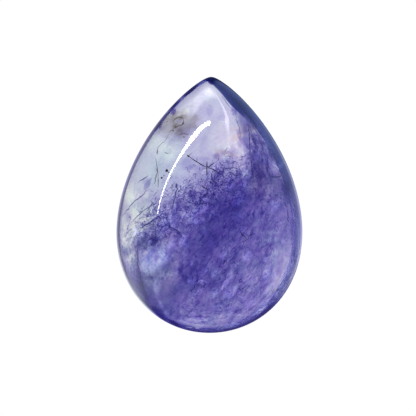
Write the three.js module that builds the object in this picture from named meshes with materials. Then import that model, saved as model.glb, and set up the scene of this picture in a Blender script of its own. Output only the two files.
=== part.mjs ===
// A pear-shaped cabochon cut from one piece of tanzanite: a flat polished base, a narrow bevel
// that rolls out to the girdle, and a high dome with a soft ridge that runs down to the point.
// Millimetres. +Z is up through the dome, +Y runs to the point, and the origin is the middle of
// the box around the flat base, so that the stone stands on Z = 0.
import * as THREE from "three";

// Driving sizes
const LENGTH = 13.8; // rounded end to point
const WIDTH = 10.0; // across the girdle
const HEIGHT = 6.3; // base to the top of the dome
const GIRDLE_HEIGHT = 0.85; // the widest section, above the base
const BEVEL_INSET = 0.42; // how far the base edge lies inside the girdle, at the widest place
const BEVEL_SWEEP = THREE.MathUtils.degToRad(62); // the bevel rolls under this far
const APEX_SHIFT = -1.5; // the dome is highest over the fat end, this far along Y

// Shape of the sections. A draw of 0 is an ellipse, and more pulls the +Y end in to a point.
const POINT_DRAW = 0.56; // at the girdle
const DRAW_LOSS = 0.5; // the share of it that is gone at the apex
const POINT_SOFTNESS = 0.01; // rounds the very tip of the point
const RIDGE_SOFTNESS = 0.5; // rounds the ridge behind the point, more and more towards the apex
const RIDGE_POWER = 0.6;
const ARCH_POWER = 0.8; // 1 is an elliptical arch, and less gives fuller shoulders

// Fineness
const TURN_STEPS = 96;
const BEVEL_STEPS = 5;
const DOME_STEPS = 26;

// The stone's arch as a round cabochon of radius 1, from the middle of the base, round the bevel
// and the girdle, to the top of the dome
function archProfile() {
  const profile = [new THREE.Vector2(0, 0)];
  for (let i = 0; i <= BEVEL_STEPS; i++) {
    const roll = BEVEL_SWEEP * (1 - i / BEVEL_STEPS);
    const inset = (BEVEL_INSET * (1 - Math.cos(roll))) / (1 - Math.cos(BEVEL_SWEEP));
    const height = GIRDLE_HEIGHT * (1 - Math.sin(roll) / Math.sin(BEVEL_SWEEP));
    profile.push(new THREE.Vector2(1 - inset / (WIDTH / 2), height));
  }
  for (let i = 1; i < DOME_STEPS; i++) {
    const lean = (Math.PI / 2) * (i / DOME_STEPS);
    const rise = Math.pow(Math.sin(lean), ARCH_POWER);
    const height = THREE.MathUtils.lerp(GIRDLE_HEIGHT, HEIGHT, rise);
    profile.push(new THREE.Vector2(Math.cos(lean), height));
  }
  profile.push(new THREE.Vector2(0, HEIGHT));
  return profile;
}

// A point of a pear section, 1 wide and 1 long each way from its middle. The turn starts at the
// pear's point, and the inset is 0 at the girdle and 1 at the apex.
function pearPoint(turn, inset) {
  const draw = POINT_DRAW * (1 - DRAW_LOSS * inset);
  const soft = POINT_SOFTNESS + (RIDGE_SOFTNESS * inset ** RIDGE_POWER) ** 2;
  const middle = 1 + draw - 2 * soft;
  const widest = (middle + Math.sqrt(middle ** 2 + 4 * (2 + draw) * soft)) / (2 * (2 + draw));
  const limit = 2 * Math.sqrt(widest * (1 - widest)) * (widest + soft) ** (draw / 2);
  const x = (Math.sin(turn) * (Math.sin(turn / 2) ** 2 + soft) ** (draw / 2)) / limit;
  return new THREE.Vector2(x, Math.cos(turn));
}

// Turns the round cabochon into the pear. Above the girdle the sections' middles slide over to the
// apex.
function pearCabochon() {
  const geometry = new THREE.LatheGeometry(archProfile(), TURN_STEPS);
  const place = geometry.getAttribute("position");
  for (let i = 0; i < place.count; i++) {
    const height = place.getY(i);
    const spread = Math.hypot(place.getX(i), place.getZ(i));
    const turn = Math.atan2(place.getX(i), -place.getZ(i));
    const inset = Math.max(0, 1 - spread);
    const outline = pearPoint(turn, inset);
    const shift = height > GIRDLE_HEIGHT ? APEX_SHIFT * inset : 0;
    const x = outline.x * spread * (WIDTH / 2);
    const y = outline.y * spread * (LENGTH / 2) + shift;
    place.setXYZ(i, x, y, height);
  }
  return geometry;
}

const tanzanite = new THREE.MeshStandardMaterial({
  color: 0x6a62b8,
  roughness: 0.04,
  metalness: 0,
});

const stone = new THREE.Mesh(pearCabochon(), tanzanite);
stone.name = "tanzanite_cabochon";

const part = new THREE.Group();
part.add(stone);

export default part;
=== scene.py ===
"""A pear-shaped tanzanite cabochon on a white light table, seen from above."""

import math

import bpy
import numpy as np
from mathutils import Matrix, Vector
from mathutils.bvhtree import BVHTree


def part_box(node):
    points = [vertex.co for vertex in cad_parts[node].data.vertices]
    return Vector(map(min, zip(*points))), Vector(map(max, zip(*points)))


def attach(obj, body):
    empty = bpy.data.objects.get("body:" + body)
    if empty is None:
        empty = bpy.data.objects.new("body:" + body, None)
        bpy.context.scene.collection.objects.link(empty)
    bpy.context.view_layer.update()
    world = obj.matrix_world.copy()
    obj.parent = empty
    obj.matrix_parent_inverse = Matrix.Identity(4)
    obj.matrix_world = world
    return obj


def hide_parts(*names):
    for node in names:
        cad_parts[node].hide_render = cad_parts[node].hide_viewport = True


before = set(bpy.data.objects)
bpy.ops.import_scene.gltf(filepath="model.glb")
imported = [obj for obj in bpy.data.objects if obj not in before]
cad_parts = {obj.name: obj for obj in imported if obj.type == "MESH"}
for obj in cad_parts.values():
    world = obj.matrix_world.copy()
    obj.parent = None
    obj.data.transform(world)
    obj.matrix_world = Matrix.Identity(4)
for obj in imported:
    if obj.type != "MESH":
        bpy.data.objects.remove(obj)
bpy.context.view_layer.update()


# The view
# The stone is photographed from above through a long lens, with its point up. The camera leans a
# little towards the stone's right side, so the right flank shows as a wide band.
scene = bpy.context.scene
MM = 0.001
PHOTO_PIXELS = 416
PIXELS_PER_MM = 18.55
CAMERA_LEAN = math.radians(4.0)
CAMERA_ROLL = math.radians(0.67)
STONE_IN_PHOTO = (210.1, 204.9)
GIRDLE_HEIGHT = 0.85 * MM
lens_mm = 500.0
sensor_mm = 36.0

camera_data = bpy.data.cameras.new("camera")
camera_data.lens = lens_mm
camera_data.sensor_width = sensor_mm
camera_data.clip_start = 0.01
camera_data.clip_end = 2.0
camera = bpy.data.objects.new("camera", camera_data)
scene.collection.objects.link(camera)
scene.camera = camera

facing = Vector((math.sin(CAMERA_LEAN), 0.0, math.cos(CAMERA_LEAN)))
level_right = Vector((math.cos(CAMERA_LEAN), 0.0, -math.sin(CAMERA_LEAN)))
level_up = Vector((0.0, 1.0, 0.0))
view_right = level_right * math.cos(CAMERA_ROLL) + level_up * math.sin(CAMERA_ROLL)
view_up = level_up * math.cos(CAMERA_ROLL) - level_right * math.sin(CAMERA_ROLL)
frame_width = PHOTO_PIXELS / PIXELS_PER_MM * MM
right_of_middle = (STONE_IN_PHOTO[0] - PHOTO_PIXELS / 2) / PIXELS_PER_MM * MM
above_middle = (PHOTO_PIXELS / 2 - STONE_IN_PHOTO[1]) / PIXELS_PER_MM * MM
aim = Vector((0.0, 0.0, GIRDLE_HEIGHT)) - view_right * right_of_middle - view_up * above_middle
camera.matrix_world = Matrix.Translation(aim + facing * (frame_width * lens_mm / sensor_mm)) @ Matrix(
    (view_right, view_up, facing)
).transposed().to_4x4()


# The stone
# One piece of tanzanite, sawn, ground on a wheel to a pear with a high dome, and polished by hand.
# The base is flat, with a small bevel so that the edge doesn't chip in a setting.
base_low, base_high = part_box("tanzanite_cabochon")
HALF_WIDTH = 5.0 * MM
HALF_LENGTH = (base_high.y - base_low.y) / 2
HEIGHT = base_high.z
LIGHT_INDEX = 1.69
BEVEL_INSET = 0.42 * MM
BEVEL_SWEEP = math.radians(62)
APEX_SHIFT = -1.5 * MM
POINT_DRAW = 0.56
DRAW_LOSS = 0.5
POINT_SOFTNESS = 0.01
RIDGE_SOFTNESS = 0.5
RIDGE_POWER = 0.6
ARCH_POWER = 0.8
TURN_STEPS = 320
BASE_STEPS = 10
BEVEL_STEPS = 14
DOME_STEPS = 130


def stone_surface(spread, height, turn):
    """Points on sections of the pear: spread is 1 at the girdle and 0 at the apex."""
    inset = np.maximum(0.0, 1 - spread)
    draw = POINT_DRAW * (1 - DRAW_LOSS * inset)
    soft = POINT_SOFTNESS + (RIDGE_SOFTNESS * inset**RIDGE_POWER) ** 2
    middle = 1 + draw - 2 * soft
    widest = (middle + np.sqrt(middle**2 + 4 * (2 + draw) * soft)) / (2 * (2 + draw))
    limit = 2 * np.sqrt(widest * (1 - widest)) * (widest + soft) ** (draw / 2)
    across = np.sin(turn) * (np.sin(turn / 2) ** 2 + soft) ** (draw / 2) / limit
    shift = np.where(height > GIRDLE_HEIGHT, APEX_SHIFT * inset, 0.0)
    x = across * spread * HALF_WIDTH
    y = np.cos(turn) * spread * HALF_LENGTH + shift
    return np.stack([x, y, np.broadcast_to(height, x.shape)], axis=-1)


def stone_profile():
    """Spread and height from near the middle of the base, round the bevel, to near the apex."""
    roll = BEVEL_SWEEP * (1 - np.arange(BEVEL_STEPS + 1) / BEVEL_STEPS)
    inset = BEVEL_INSET * (1 - np.cos(roll)) / (1 - math.cos(BEVEL_SWEEP))
    bevel_spread = 1 - inset / HALF_WIDTH
    bevel_height = GIRDLE_HEIGHT * (1 - np.sin(roll) / math.sin(BEVEL_SWEEP))
    base_spread = bevel_spread[0] * np.arange(1, BASE_STEPS) / BASE_STEPS
    lean = math.pi / 2 * np.arange(1, DOME_STEPS) / DOME_STEPS
    dome_spread = np.cos(lean)
    dome_height = GIRDLE_HEIGHT + (HEIGHT - GIRDLE_HEIGHT) * np.sin(lean) ** ARCH_POWER
    spread = np.concatenate([base_spread, bevel_spread, dome_spread])
    height = np.concatenate([base_spread * 0.0, bevel_height, dome_height])
    return spread, height


def stone_faces():
    """The points of the whole surface, in rings from the base up, and the faces between them."""
    spread, height = stone_profile()
    turn = 2 * math.pi * np.arange(TURN_STEPS) / TURN_STEPS
    rings = stone_surface(spread[:, None], height[:, None], turn[None, :])
    points = [(0.0, 0.0, 0.0)] + [tuple(p) for p in rings.reshape(-1, 3)]
    points.append((0.0, APEX_SHIFT, HEIGHT))
    apex = len(points) - 1
    faces = []
    for step in range(TURN_STEPS):
        after = (step + 1) % TURN_STEPS
        faces.append((0, 1 + step, 1 + after))
        last = 1 + (len(spread) - 1) * TURN_STEPS
        faces.append((last + after, last + step, apex))
        for ring in range(len(spread) - 1):
            here = 1 + ring * TURN_STEPS
            there = here + TURN_STEPS
            faces.append((here + after, here + step, there + step, there + after))
    return points, faces


def new_object(name, points, faces):
    mesh = bpy.data.meshes.new(name)
    mesh.from_pydata(points, [], faces)
    mesh.update()
    made = bpy.data.objects.new(name, mesh)
    scene.collection.objects.link(made)
    return made


def new_material(made, name):
    """Gives an object a material, for the nodes that follow. Returns its shader."""
    global tree
    material = bpy.data.materials.new(name)
    material.use_nodes = True
    made.data.materials.append(material)
    tree = material.node_tree
    return tree.nodes["Principled BSDF"]


stone = new_object("tanzanite_stone", *stone_faces())
for face in stone.data.polygons:
    face.use_smooth = True

shader = new_material(stone, "tanzanite")


def plug(socket, value):
    """Sets an input: from another node's output, or to a plain value."""
    if isinstance(value, bpy.types.NodeSocket):
        socket.id_data.links.new(value, socket)
    else:
        socket.default_value = value


def node(kind, output=0, inputs=(), **settings):
    """Adds a node to the tree at hand, plugs its inputs and gives back one output."""
    made = tree.nodes.new("ShaderNode" + kind)
    for name, value in settings.items():
        setattr(made, name, value)
    for name, value in dict(inputs).items():
        plug(made.inputs[name], value)
    return made.outputs[output]


def maths(operation, *values):
    return node("Math", operation=operation, inputs=enumerate(values))


def minus(value, taken):
    return maths("SUBTRACT", value, taken)


def plus(amount, share, more):
    """An amount, and a share of so much more."""
    return maths("MULTIPLY_ADD", share, more, amount)


def times(*values):
    """The product of its values, from the first on."""
    product = values[0]
    for value in values[1:]:
        product = maths("MULTIPLY", product, value)
    return product


def vector(operation, *values, output="Vector"):
    return node("VectorMath", output, operation=operation, inputs=enumerate(values))


def scaled(value, factor):
    return node("VectorMath", operation="SCALE", inputs={0: value, "Scale": factor})


def spread_range(value, low, high, start, end, **settings):
    limits = {"Value": value, "From Min": low, "From Max": high, "To Min": start, "To Max": end}
    return node("MapRange", inputs=limits, **settings)


def step_between(value, low, high, start=0.0, end=1.0):
    """Goes smoothly from one value at low to another at high."""
    return spread_range(value, low, high, start, end, interpolation_type="SMOOTHSTEP", clamp=False)


def between(value, start, full, fading, end):
    """1 from full to fading, and smoothly 0 at the start and the end."""
    return times(step_between(value, start, full), step_between(value, end, fading))


def blend(factor, first, second, mode="MIX"):
    made = tree.nodes.new("ShaderNodeMix")
    made.data_type = "RGBA"
    made.blend_type = mode
    plug(made.inputs["Factor"], factor)
    plug(made.inputs[6], first)
    plug(made.inputs[7], second)
    return made.outputs[2]


def noise(place, scale, detail=3.0, roughness=0.55, output="Fac", distortion=0.0):
    values = {"Vector": place, "Scale": scale, "Detail": detail, "Roughness": roughness}
    return node("TexNoise", output, inputs={**values, "Distortion": distortion})


def oval(place, middle, turn, half_length, half_width, core=0.0):
    """1 in the core of an oval and smoothly 0 at its edge. Lengths are in millimetres."""
    ball = tree.nodes.new("ShaderNodeTexGradient")
    ball.gradient_type = "SPHERICAL"
    ball.texture_mapping.vector_type = "TEXTURE"
    ball.texture_mapping.translation = (*middle, 0.0)
    ball.texture_mapping.rotation = (0.0, 0.0, math.radians(turn))
    ball.texture_mapping.scale = (half_length, half_width, 1.0)
    plug(ball.inputs["Vector"], place)
    return step_between(ball.outputs["Fac"], 0.0, 1 - core)


def add_ovals(amount, place, ovals):
    """Adds to an amount: each oval's middle, turn, half length, half width, core and how much more."""
    for middle, turn, half_length, half_width, core, more in ovals:
        amount = plus(amount, oval(place, middle, turn, half_length, half_width, core), more)
    return amount


# The colour grew in zones, and the cutter kept the boundary between pale and violet in the stone.
# The zones are laid out as they show from above: the dome carries them as they are, and the base
# carries them smaller, because the dome magnifies it.
BASE_MAGNIFIED = (2.0, 1.42, 0.0)
BASE_OFFSET = (0.12, 0.25, 0.0)
DOME_SHEAR = 0.07
place_mm = scaled(node("TexCoord", "Object"), 1 / MM)
height_mm = node("SeparateXYZ", "Z", inputs={0: place_mm})
girdle_mm = GIRDLE_HEIGHT / MM
flat = vector("MULTIPLY", place_mm, (1.0, 1.0, 0.0))
sheared = times(minus(height_mm, girdle_mm), -DOME_SHEAR)
level = node("VectorRotate", rotation_type="Z_AXIS", inputs={"Vector": flat, "Angle": -CAMERA_ROLL})
on_dome = vector("ADD", level, node("CombineXYZ", inputs={"X": sheared}))
on_base = vector("MULTIPLY_ADD", flat, BASE_MAGNIFIED, BASE_OFFSET)
dome_share = step_between(height_mm, 0.0, girdle_mm)
seen = node("Mix", 1, data_type="VECTOR", inputs={"Factor": dome_share, 4: on_base, 5: on_dome})
texture_place = vector("ADD", seen, node("CombineXYZ", inputs={"Z": height_mm}))
ragged = vector("SUBTRACT", noise(texture_place, 1.1, 4.0, 0.6, "Color"), (0.5, 0.5, 0.5))
zone = vector("MULTIPLY", vector("ADD", seen, scaled(ragged, 1.5)), (1.0, 1.0, 0.0))

# How much violet the light meets: 0 where the stone is almost colourless and 1 in the core
VIOLET_BELOW = 0.50
VIOLET_ZONES = (
    # middle, turn, half length, half width, core, how much more violet
    ((-0.1, -1.9), 60, 4.7, 1.7, 0.1, 0.30),
    ((1.3, 0.3), 25, 2.3, 1.5, 0.1, 0.16),
    ((2.7, 2.6), 96, 2.2, 0.8, 0.4, 0.30),
    ((2.0, 3.4), 103, 2.0, 0.6, 0.4, 0.36),
    ((4.1, 0.75), 98, 1.1, 0.5, 0.2, 0.35),
    ((-3.6, -4.5), 115, 1.4, 0.75, 0.2, 0.26),
    ((-2.5, -5.7), 145, 1.6, 0.7, 0.2, 0.22),
    ((-3.0, -1.75), 20, 0.9, 0.7, 0.2, 0.14),
    ((-1.5, -0.3), 35, 2.6, 0.8, 0.2, 0.12),
    ((-2.9, -2.9), 35, 1.35, 0.75, 0.3, -0.32),
    ((-4.5, -1.3), 96, 2.7, 0.75, 0.4, -0.50),
    ((-4.35, 0.9), 100, 1.7, 0.5, 0.2, -0.30),
    ((-2.0, -3.6), 60, 1.8, 0.8, 0.1, -0.16),
    ((-3.5, -1.0), 40, 1.7, 1.0, 0.1, -0.32),
    ((4.2, -3.2), 75, 3.0, 1.3, 0.1, -0.36),
    ((2.9, -5.0), 40, 2.6, 1.3, 0.1, -0.16),
    ((0.2, -6.1), 5, 2.6, 0.9, 0.1, -0.22),
    ((0.7, 3.6), 70, 1.5, 1.0, 0.2, -0.10),
    ((-1.2, 3.95), 60, 1.3, 1.0, 0.1, 0.14),
    ((1.5, 2.95), 105, 1.2, 0.4, 0.2, -0.30),
    ((-1.9, 3.1), 50, 1.1, 0.7, 0.2, -0.16),
    ((-3.0, -3.4), 60, 1.0, 0.7, 0.2, -0.15),
    ((2.3, -3.0), 60, 1.1, 0.8, 0.2, -0.18),
    ((0.3, 2.2), 30, 1.8, 0.9, 0.2, 0.13),
    ((3.5, 0.9), 120, 1.3, 0.7, 0.2, 0.20),
    ((1.4, -1.3), 60, 2.0, 1.2, 0.2, 0.14),
    ((-0.4, -6.4), 5, 1.0, 0.4, 0.2, -0.20),
)
# Painted shade at the rim and the tip, and a darker patch along the cleavage, close under the dome
SHADE_AND_DARK_PATCHES = (
    ((-0.12, 6.86), 3, 0.50, 0.27, 0.5, 2.8),
    ((0.0, 6.6), 130, 0.26, 0.13, 0.4, 2.0),
    ((-1.04, 6.13), 40, 0.66, 0.12, 0.4, 2.8),
    ((-1.92, 5.33), 43, 0.54, 0.09, 0.3, 2.2),
    ((1.75, 4.5), 113, 1.2, 0.30, 0.2, 0.4),
)
CLEAR_SIDE = (-0.52, 0.854, 0.0)
on_boundary = vector("SUBTRACT", zone, (-1.5, 0.25, 0.0))
above_boundary = vector("DOT_PRODUCT", on_boundary, CLEAR_SIDE, output="Value")
seen_x = node("SeparateXYZ", "X", inputs={0: seen})
seen_y = node("SeparateXYZ", "Y", inputs={0: seen})
across_band = maths("ADD", seen_x, seen_y)
past_band = plus(minus(across_band, 15.6), dome_share, 9.0)
past_cleavage = maths("MAXIMUM", minus(seen_x, 2.1), past_band)
left_of_cleavage = step_between(past_cleavage, 0.2, -0.15)
pale = times(step_between(above_boundary, -1.0, 1.5), left_of_cleavage)
violet = times(minus(1.0, pale), VIOLET_BELOW)
violet = maths("ADD", violet, 0.11)
violet = add_ovals(violet, zone, VIOLET_ZONES)
violet = maths("MAXIMUM", violet, -0.05)
# Painted shade: the band along the upper right rim, towards the point, gets much more violet
band_edge = minus(across_band, step_between(seen_y, 5.3, 6.2, 0.0, 0.14))
rim_shade_band = times(step_between(band_edge, 6.4, 6.52), dome_share)
near_tip = step_between(seen_y, 4.2, 5.3)
violet = plus(violet, rim_shade_band, plus(0.3, near_tip, 1.7))
# Painted shade at the rim and the tip, with the darker patch along the cleavage
violet = add_ovals(violet, on_dome, SHADE_AND_DARK_PATCHES)
# Painted light and shade at the low end: a paler ring just inside the rim, and a darker ring outside it
from_low_middle = vector("DISTANCE", on_dome, (-0.03, -2.09, 0.0), output="Value")
low_end = times(step_between(seen_y, -4.3, -5.3), step_between(seen_x, -2.4, -1.6))
for radius, half_width, more, right in ((4.42, 0.14, -0.40, -0.1), (4.68, 0.12, 0.45, 9.0)):
    off_ring = maths("ABSOLUTE", minus(from_low_middle, radius))
    ring = step_between(off_ring, half_width, 0.3 * half_width)
    ring = times(ring, low_end, step_between(seen_x, right, right - 0.5), dome_share)
    violet = plus(violet, ring, more)
# Painted shade: a darker strip along the left rim
rim_height = maths("ADD", height_mm, step_between(seen_y, -0.3, 1.2, 0.0, 0.5))
left_rim_shade = times(step_between(rim_height, 3.7, 3.2), step_between(seen_x, -3.2, -4.2))
left_rim_shade = times(left_rim_shade, step_between(seen_y, -2.4, -1.2), dome_share)
violet = plus(violet, left_rim_shade, 0.6)


# Growth texture. Soft clouds go through the stone, and fine threads and flecks lie near the dome,
# where they show sharp: wandering healed cracks in a veil above the core, and streaks beside it
def threads(place, scale, half_width, wander=0.6):
    """Thin wandering lines: 1 on a line and smoothly 0 beside it."""
    field = noise(place, scale, 2.0, 0.6, distortion=wander)
    off_line = maths("ABSOLUTE", minus(field, 0.5))
    return step_between(off_line, 0.0, half_width, 1.0, 0.0)


def drawn_out(place, turn, stretch):
    """The place for a texture that is stretched along one way in the stone."""
    turns = (0.0, 0.0, math.radians(turn))
    values = {"Vector": place, "Rotation": turns, "Scale": (stretch, 1.0, 1.0)}
    return node("Mapping", vector_type="TEXTURE", inputs=values)


GROWTH_TURN = 52
CLEAVAGE_TURN = 97
along_growth = drawn_out(texture_place, GROWTH_TURN, 2.2)
veil_place = vector("ADD", texture_place, scaled(ragged, 0.8))
clouds = spread_range(noise(texture_place, 0.9, 5.0, 0.6), 0.3, 0.7, -0.14, 0.14)
streaks = spread_range(noise(along_growth, 1.7, 4.0, 0.6), 0.3, 0.7, -0.24, 0.24)
mottle = spread_range(noise(along_growth, 4.2, 2.0, 0.6, distortion=0.8), 0.35, 0.65, -0.15, 0.15)
fleece = spread_range(noise(texture_place, 5.5, 3.0, 0.7), 0.3, 0.7, -0.13, 0.13)
grains = step_between(noise(texture_place, 4.6, 1.0, 0.5, distortion=0.5), 0.64, 0.74, 0.0, 0.5)
fleece = maths("ADD", fleece, maths("ADD", mottle, grains))
growth_threads = threads(along_growth, 3.0, 0.035)
fine = times(plus(fleece, growth_threads, 0.45), dome_share)
along_cleavage = drawn_out(texture_place, CLEAVAGE_TURN, 6.0)
cleavage_zone = times(oval(seen, (2.7, 2.9), 100, 2.0, 0.65, 0.5), dome_share)
fibrous = spread_range(noise(along_cleavage, 4.5, 3.0, 0.6), 0.35, 0.65, -0.55, 0.55)
fine = plus(fine, fibrous, cleavage_zone)
texture = maths("ADD", clouds, maths("ADD", streaks, fine))
roughened = step_between(pale, 0.9, 0.2, 0.15, 1.0)
calm_rim = step_between(height_mm, 2.4, 4.2, -0.65, 0.0)
from_middle = vector("LENGTH", vector("MULTIPLY", seen, (1.0, 0.72, 0.0)), output="Value")
near_rim = step_between(from_middle, 4.9, 5.8, 1.0, 0.25)
roughened = times(roughened, plus(1.0, calm_rim, dome_share), near_rim)
CALM_PLACES = (((-3.0, -3.2), 20, 1.3, 1.1), ((-2.4, -4.8), 30, 1.7, 1.2), ((4.0, -3.1), 78, 3.2, 1.0))
for shape in CALM_PLACES:
    calm = oval(on_dome, *shape, 0.3)
    roughened = times(roughened, plus(1.0, calm, -0.6))
violet = plus(violet, texture, roughened)

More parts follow.
